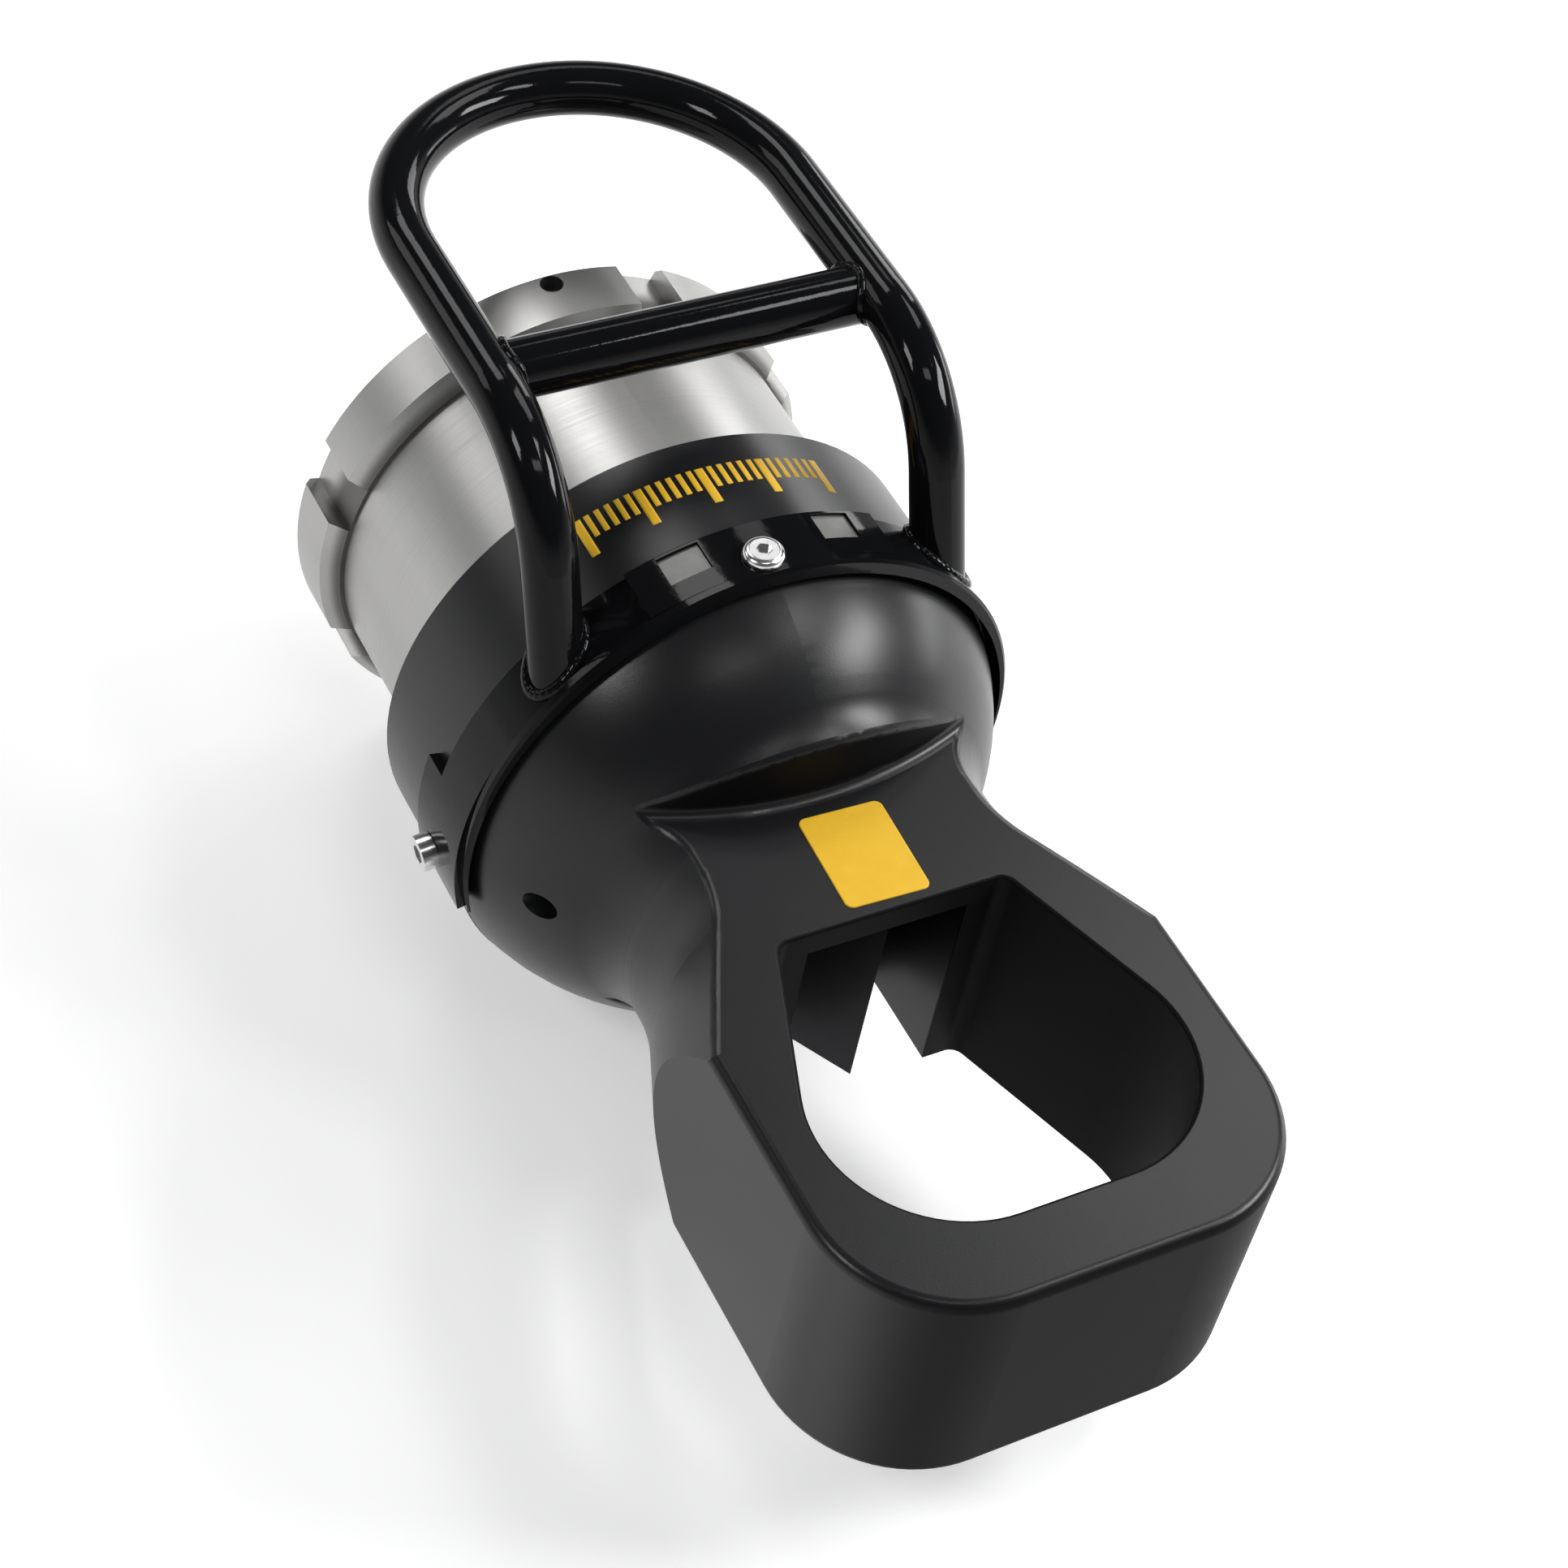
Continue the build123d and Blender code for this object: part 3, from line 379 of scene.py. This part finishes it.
def mesh_object(name, points, faces):
    """Mesh object from an (n, 3) array of points and an (m, 4) array of corners."""
    mesh = bpy.data.meshes.new(name)
    mesh.vertices.add(len(points))
    mesh.vertices.foreach_set("co", np.asarray(points, np.float32).ravel())
    mesh.loops.add(faces.size)
    mesh.loops.foreach_set("vertex_index", np.asarray(faces, np.int32).ravel())
    mesh.polygons.add(len(faces))
    mesh.polygons.foreach_set("loop_start", np.arange(len(faces), dtype=np.int32) * 4)
    mesh.update(calc_edges=True)
    mesh.validate()
    mesh.shade_smooth()
    made = bpy.data.objects.new(name, mesh)
    bpy.context.scene.collection.objects.link(made)
    return made


def grid_faces(rows, columns, around=False, along=False):
    """Corners of the cells of a grid of points; around joins the last column to the first, along the rows."""
    i = np.arange(rows if along else rows - 1)[:, None]
    j = np.arange(columns if around else columns - 1)[None, :]
    a = i * columns + j
    b = i * columns + (j + 1) % columns
    c = (i + 1) % rows * columns + (j + 1) % columns
    d = (i + 1) % rows * columns + j
    return np.stack([a, b, c, d], -1).reshape(-1, 4)


def full_turn(count):
    """That many angles, evenly round a full turn."""
    return np.linspace(0, TURN, count, endpoint=False)


def around_axis(x, radius, angle):
    """Points at a radius and an angle about the ram's axis, counted from +Y to +Z."""
    return np.stack(np.broadcast_arrays(x, radius * np.cos(angle), AXIS_Z + radius * np.sin(angle)), -1)


def close_seams(made):
    """Merges points that lie on each other, which closes seams, rims and ends."""
    same = 0.001 * MM
    shell = bmesh.new()
    shell.from_mesh(made.data)
    bmesh.ops.remove_doubles(shell, verts=shell.verts, dist=same)
    bmesh.ops.dissolve_degenerate(shell, edges=shell.edges, dist=same)
    shell.to_mesh(made.data)
    shell.free()


def sharp_by_angle(made, degrees):
    """Marks edges sharper than an angle, so that flat faces stay flat beside round ones."""
    made.data.set_sharp_from_angle(angle=math.radians(degrees))


def take_finish(made, material, body):
    """Gives a piece its material and the body that it rides."""
    made.data.materials.append(material)
    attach(made, body)
    return made


def rounded_outline(half_x, half_y, radius, steps):
    """Rounded rectangle, corner by corner: centre of the corner plus its radius turned through a quarter."""
    quarter = np.linspace(0, TURN / 4, steps)
    angle = (np.arange(4)[:, None] * TURN / 4 + quarter[None, :]).ravel()
    corner = np.repeat(np.array([[1, 1], [-1, 1], [-1, -1], [1, -1]]), steps, 0)
    centre = corner * np.array([half_x - radius, half_y - radius])
    return centre + radius * np.stack([np.cos(angle), np.sin(angle)], -1)


def label_plate(material):
    """Bare plate on the neck: rings of a rounded rectangle, each an inset of its outline at its own height.

    They go from the middle of the underside out to the rim, up over the edge and in to the middle of the top.
    """
    half_x = 18.6 * MM
    half_y = 14.4 * MM
    corner_r = 2.6 * MM
    corner_steps = 9
    thick = 0.5 * MM
    edge = 0.15 * MM
    centre = np.array([OPENING_X - 22.6 * MM, 1.6 * MM])
    turn = math.radians(-2.0)

    inset = np.array([half_y, 0, 0, edge, 3 * edge, half_y * 0.5, half_y])
    height = np.array([0, 0, thick - edge, thick, thick, thick, thick])
    columns = 4 * corner_steps
    rings = [
        np.column_stack([
            rounded_outline(half_x - d, half_y - d, max(corner_r - d, 0.0), corner_steps),
            np.full(columns, LOOP_TOP_Z + h),
        ])
        for d, h in zip(inset, height)
    ]
    points = np.concatenate(rings)
    spin = np.array([[math.cos(turn), -math.sin(turn)], [math.sin(turn), math.cos(turn)]])
    points[:, :2] = points[:, :2] @ spin.T + centre
    made = mesh_object("label_plate", points, grid_faces(len(rings), columns, around=True))
    close_seams(made)
    sharp_by_angle(made, 50)
    return take_finish(made, material, "tool_body")


def skirt_marks(material):
    """Plain scale painted on the skirt, every sixth tick a long one.

    Each tick is a patch of the skirt's cylinder, lifted by a coat of paint, whose rim goes down to a second
    patch just under the skirt's surface.
    """
    count = 25
    long_every = 6
    first = math.radians(117)
    last = math.radians(66)
    rear = OPENING_X - 146.0 * MM
    coat = 0.08 * MM
    long_tick = np.arange(count) % long_every == 0
    length = np.where(long_tick, 16.0 * MM, 9.5 * MM)
    half_width = np.where(long_tick, 1.52 * MM, 0.95 * MM)

    along = np.array([0, 0.02, 0.98, 1])
    across = np.array([-1, -0.96, -0.4, 0.4, 0.96, 1])
    rows, columns = len(along), len(across)
    upper = 2 * np.pad(np.ones((rows - 2, columns - 2)), 1) - 1
    radius = SKIRT_R + coat * np.stack([upper, np.full_like(upper, -1)])
    x = rear + length[:, None] * along
    angle = np.linspace(first, last, count)[:, None] + half_width[:, None] / SKIRT_R * across
    points = around_axis(x[:, None, :, None], radius, angle[:, None, None, :])

    patch = grid_faces(rows, columns)
    tick = np.concatenate([patch, patch[:, ::-1] + rows * columns])
    faces = tick + np.arange(count)[:, None, None] * 2 * rows * columns
    made = mesh_object("skirt_marks", points.reshape(-1, 3), faces.reshape(-1, 4))
    close_seams(made)
    return take_finish(made, material, "tool_body")


def bead(name, path, radius, material):
    """Weld bead: a circle carried along a closed path.

    Its radius ripples along the way, in rows bent by the cosine of the angle round the bead, and swells
    slowly a few times round the path.
    """
    columns = 16
    row_points = 5
    row_bend = 1.4
    swells = 3
    count = len(path)
    ahead = np.roll(path, -1, 0) - np.roll(path, 1, 0)
    ahead /= np.linalg.norm(ahead, axis=1)[:, None]
    out = path - path.mean(0)
    out -= (out * ahead).sum(1)[:, None] * ahead
    out /= np.linalg.norm(out, axis=1)[:, None]
    side = np.cross(ahead, out)
    phi = full_turn(columns)
    row = np.arange(count)[:, None] * TURN / row_points + row_bend * np.cos(phi)
    swell = np.sin(np.arange(count) * TURN * swells / count)[:, None]
    size = radius * (1 + BEAD_RIPPLE * np.sin(row) + BEAD_RIPPLE * swell)
    points = (
        path[:, None, :]
        + (size * np.cos(phi))[:, :, None] * out[:, None, :]
        + (size * np.sin(phi))[:, :, None] * side[:, None, :]
    )
    made = mesh_object(name, points.reshape(-1, 3), grid_faces(count, columns, around=True, along=True))
    return take_finish(made, material, "tool_body")


def foot_path(side):
    """Where a leg of the handle meets the strap: points round the leg, moved along it to the strap's radius.

    The move is the larger root of the quadratic equation for a distance from the axis equal to that radius.
    """
    foot = np.array([FOOT_X, side * HANDLE_Y, FOOT_Z])
    along = np.array([-HANDLE_LEAN, 0, 1.0]) / math.hypot(HANDLE_LEAN, 1)
    across = np.array([0, 1.0, 0])
    third = np.cross(along, across)
    phi = full_turn(BEAD_POINTS)[:, None]
    ring = foot + HANDLE_BAR_R * (np.cos(phi) * across + np.sin(phi) * third)
    y = ring[:, 1]
    z = ring[:, 2] - AXIS_Z
    a = along[2] ** 2
    b = 2 * z * along[2]
    c = y ** 2 + z ** 2 - STRAP_R ** 2
    shift = (-b + np.sqrt(b ** 2 - 4 * a * c)) / (2 * a)
    return ring + shift[:, None] * along


def crossbar_path(side):
    """Where the crossbar meets a leg: a circle round the bar, drawn out to the leg's round surface."""
    least_reach = 2 * MM
    phi = full_turn(BEAD_POINTS)
    z = CROSSBAR_Z + CROSSBAR_R * np.sin(phi)
    reach = np.sqrt(np.maximum(HANDLE_BAR_R ** 2 - (z - HANDLE_Z) ** 2, least_reach ** 2))
    return np.stack([CROSSBAR_X + CROSSBAR_R * np.cos(phi), side * (HANDLE_Y - reach), z], -1)


def knurled_collar(material):
    """Coupler sleeve: a turned outline whose outer band carries two crossed sets of grooves.

    Each set follows the unsigned sine of half the wave round the sleeve plus or minus the lead along it, and
    the higher of the two stands.
    """
    low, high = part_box("coupler_collar")
    outer = (high.y - low.y) / 2
    inner = 12.56 * MM
    chamfer = 1.0 * MM
    land = 2.0 * MM
    margin = 2.5 * MM
    band_rows = 90
    columns = 360
    grooves = 60
    pitch = 1.8 * MM
    depth = 0.45 * MM

    rear = [low.x, low.x, low.x + chamfer, low.x + land]
    band = np.linspace(low.x + margin, high.x - margin, band_rows)
    front = [high.x - land, high.x - chamfer, high.x, high.x]
    x = np.concatenate([rear, band, front])[:, None]
    end_radius = [inner, outer - chamfer, outer, outer]
    radius = np.concatenate([end_radius, np.full(band_rows, outer), end_radius[::-1]])[:, None]
    knurled = np.pad(np.ones(band_rows), len(rear))[:, None]
    angle = full_turn(columns)
    wave = grooves * angle
    lead = TURN / pitch * x
    ridge = np.maximum(np.abs(np.sin((wave + lead) / 2)), np.abs(np.sin((wave - lead) / 2)))
    points = around_axis(x, radius - depth * knurled * (1 - ridge), angle)
    made = mesh_object(
        "knurled_collar", points.reshape(-1, 3), grid_faces(len(x), columns, around=True, along=True)
    )
    sharp_by_angle(made, 40)
    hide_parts("coupler_collar")
    return take_finish(made, material, "coupler_collar")


def coil_spring(material):
    """Return spring: a circle carried along a helix about the ram's axis and drawn together at its two ends.

    It is drawn once, at one length, from behind the ram to its seat in the head.
    """
    wire_r = 3.5 * MM
    turns = 4
    turn_rows = 72
    columns = 20
    rear = OPENING_X - 190.0 * MM
    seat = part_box("spring_seat")[0].x
    coil_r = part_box("return_spring")[1].y - wire_r
    length = seat - rear
    rise = length - 2 * wire_r

    share = np.linspace(0, 1, turns * turn_rows + 1)
    angle = share * turns * TURN
    flat = np.zeros_like(angle)
    middle = around_axis(rear + wire_r + rise * share, coil_r, angle)
    out = np.stack([flat, np.cos(angle), np.sin(angle)], -1)
    ahead = np.stack([flat + rise / (turns * TURN), -coil_r * np.sin(angle), coil_r * np.cos(angle)], -1)
    ahead /= np.linalg.norm(ahead, axis=1)[:, None]
    side = np.cross(ahead, out)
    rows = np.pad(np.arange(len(share)), 1, mode="edge")
    size = np.pad(np.full(len(share), wire_r), 1)[:, None, None]
    phi = full_turn(columns)[:, None]
    points = middle[rows, None] + size * (np.cos(phi) * out[rows, None] + np.sin(phi) * side[rows, None])
    made = mesh_object("coil_spring", points.reshape(-1, 3), grid_faces(len(rows), columns, around=True))
    close_seams(made)
    sharp_by_angle(made, 50)
    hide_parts("return_spring")
    take_finish(made, material, "tool_body")
    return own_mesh(made)


def studio_floor():
    """Pale floor. The camera, gloss and glass also see it glow, more so away from the tool."""
    corners = FLOOR_HALF * np.array([[-1, -1, 0], [1, -1, 0], [1, 1, 0], [-1, 1, 0]])
    made = mesh_object("floor", corners, np.array([[0, 1, 2, 3]]))
    f = Finish("floor_white")
    camera = f.node("ShaderNodeLightPath", {}, {}, "Is Camera Ray")
    rays = camera.socket.node.outputs
    seen = (camera + Wire(f, rays["Is Glossy Ray"]) + Wire(f, rays["Is Transmission Ray"])).step(0.0, 1.0)
    x, y, _ = f.split(f.place)
    away = ((x * x + y * y) ** 0.5).step(0.5, 2.2)
    shade = f.node("ShaderNodeBsdfDiffuse", {}, {"Color": rgb(0.86, 0.86, 0.86)})
    strength = seen * (0.38 + away * 0.55)
    glow = f.node("ShaderNodeEmission", {}, {"Color": rgb(1, 1, 1), "Strength": strength})
    made.data.materials.append(f.end(f.node("ShaderNodeAddShader", {}, {0: shade, 1: glow})))


def studio_air():
    """Surroundings: bright at the horizon, dim above."""
    f = Finish("studio_air", bpy.data.worlds)
    _, _, height = f.split(f.place)
    strength = 0.9 - height.step(0.0, 0.36) * 0.82
    light = f.node("ShaderNodeBackground", {}, {"Color": rgb(0.97, 0.98, 1.0), "Strength": strength})
    bpy.context.scene.world = f.end(light, "ShaderNodeOutputWorld")


def softbox(name, azimuth, elevation, size, radiance):
    """Area lamp on a sphere about the tool's middle, turned towards it; a radiance of 1 mirrors as white."""
    a = math.radians(azimuth)
    e = math.radians(elevation)
    away = Vector((math.cos(a) * math.cos(e), math.sin(a) * math.cos(e), math.sin(e)))
    lamp = bpy.data.lights.new(name, "AREA")
    lamp.shape = "RECTANGLE"
    lamp.size, lamp.size_y = size
    lamp.energy = math.pi * size[0] * size[1] * radiance
    made = bpy.data.objects.new(name, lamp)
    made.location = Vector((0, 0, AXIS_Z)) + away * LAMP_DISTANCE
    made.rotation_euler = (-away).to_track_quat("-Z", "Y").to_euler()
    bpy.context.scene.collection.objects.link(made)


def studio():
    """Pale floor, white surroundings and soft lamps."""
    bpy.context.scene.view_settings.view_transform = "Standard"
    studio_floor()
    studio_air()
    softbox("right_lamp", azimuth=67, elevation=38, size=(0.80, 0.38), radiance=25.0)
    softbox("right_top", azimuth=64, elevation=61, size=(0.46, 0.20), radiance=16.0)
    softbox("left_lamp", azimuth=272, elevation=46, size=(0.36, 0.45), radiance=16.0)
    softbox("top_strip", azimuth=355, elevation=66, size=(0.7, 0.2), radiance=5.0)
    softbox("back_lamp", azimuth=181, elevation=50, size=(0.48, 0.6), radiance=6.2)
    softbox("back_right", azimuth=117, elevation=52, size=(0.6, 0.5), radiance=5.5)
    softbox("back_panel", azimuth=149, elevation=46, size=(0.24, 0.22), radiance=2.4)
    softbox("right_rear", azimuth=128, elevation=22, size=(0.5, 0.5), radiance=5.5)
    softbox("right_low", azimuth=93, elevation=8, size=(0.9, 0.3), radiance=6.0)
    softbox("rear_left", azimuth=220, elevation=30, size=(0.7, 0.5), radiance=2.8)


def photo_camera():
    """Camera at the photograph's viewpoint, rolled about its line of sight."""
    data = bpy.data.cameras.new("photo_camera")
    data.lens = CAMERA_LENS
    data.sensor_width = CAMERA_SENSOR
    data.clip_start = 0.01
    data.clip_end = 50
    made = bpy.data.objects.new("photo_camera", data)
    level = CAMERA_FORWARD.to_track_quat("-Z", "Y").to_matrix().to_4x4()
    made.matrix_world = Matrix.Translation(CAMERA_PLACE) @ level @ Matrix.Rotation(CAMERA_ROLL, 4, "Z")
    bpy.context.scene.collection.objects.link(made)
    bpy.context.scene.camera = made


finishes = {
    "satin_black": satin_black(),
    "gloss_black": gloss_black(),
    "nickel_plate": nickel_plate("nickel_plate"),
    "bright_zinc": turned_metal("bright_zinc", (0.66, 0.66, 0.66), (0.82, 0.82, 0.81), rough=0.16),
    "black_oxide": turned_metal("black_oxide", (0.018, 0.018, 0.02), (0.034, 0.034, 0.037), rough=0.34),
    "bare_plate": brushed_plate(),
    "hard_chrome": turned_metal("hard_chrome", (0.62, 0.63, 0.64), (0.72, 0.73, 0.74), rough=0.06),
    "machined_steel": turned_metal("machined_steel", (0.42, 0.42, 0.42), (0.54, 0.54, 0.53), rough=0.26),
    "bronze": turned_metal("bronze", (0.50, 0.33, 0.13), (0.64, 0.44, 0.20), rough=0.24),
    "seal_rubber": seal_rubber(),
    "white_ring": white_ring(),
    "spring_steel": turned_metal(
        "spring_steel", (0.17, 0.17, 0.18), (0.27, 0.27, 0.28), rough=0.3, line_scale=900
    ),
    "coupler_steel": turned_metal("coupler_steel", (0.46, 0.46, 0.45), (0.60, 0.60, 0.58), rough=0.24),
}

for part in frame["record"]["subparts"]:
    node = frame["nodes"][part["node"]]
    node.data.materials.clear()
    node.data.materials.append(finishes[part["material_slot"]])
frame["nodes"]["rear_cap"].data.materials[0] = nickel_plate("slotted_nickel", SLOT_FLOOR_R)

label_plate(yellow_enamel("label_yellow"))
skirt_marks(yellow_enamel("mark_yellow"))
for side, word in ((-1, "right"), (1, "left")):
    bead(f"foot_weld_{word}", foot_path(side), FOOT_BEAD_R, finishes["gloss_black"])
    bead(f"crossbar_weld_{word}", crossbar_path(side), CROSSBAR_BEAD_R, finishes["gloss_black"])
knurled_collar(finishes["coupler_steel"])
coil_spring(finishes["spring_steel"])

studio()
photo_camera()
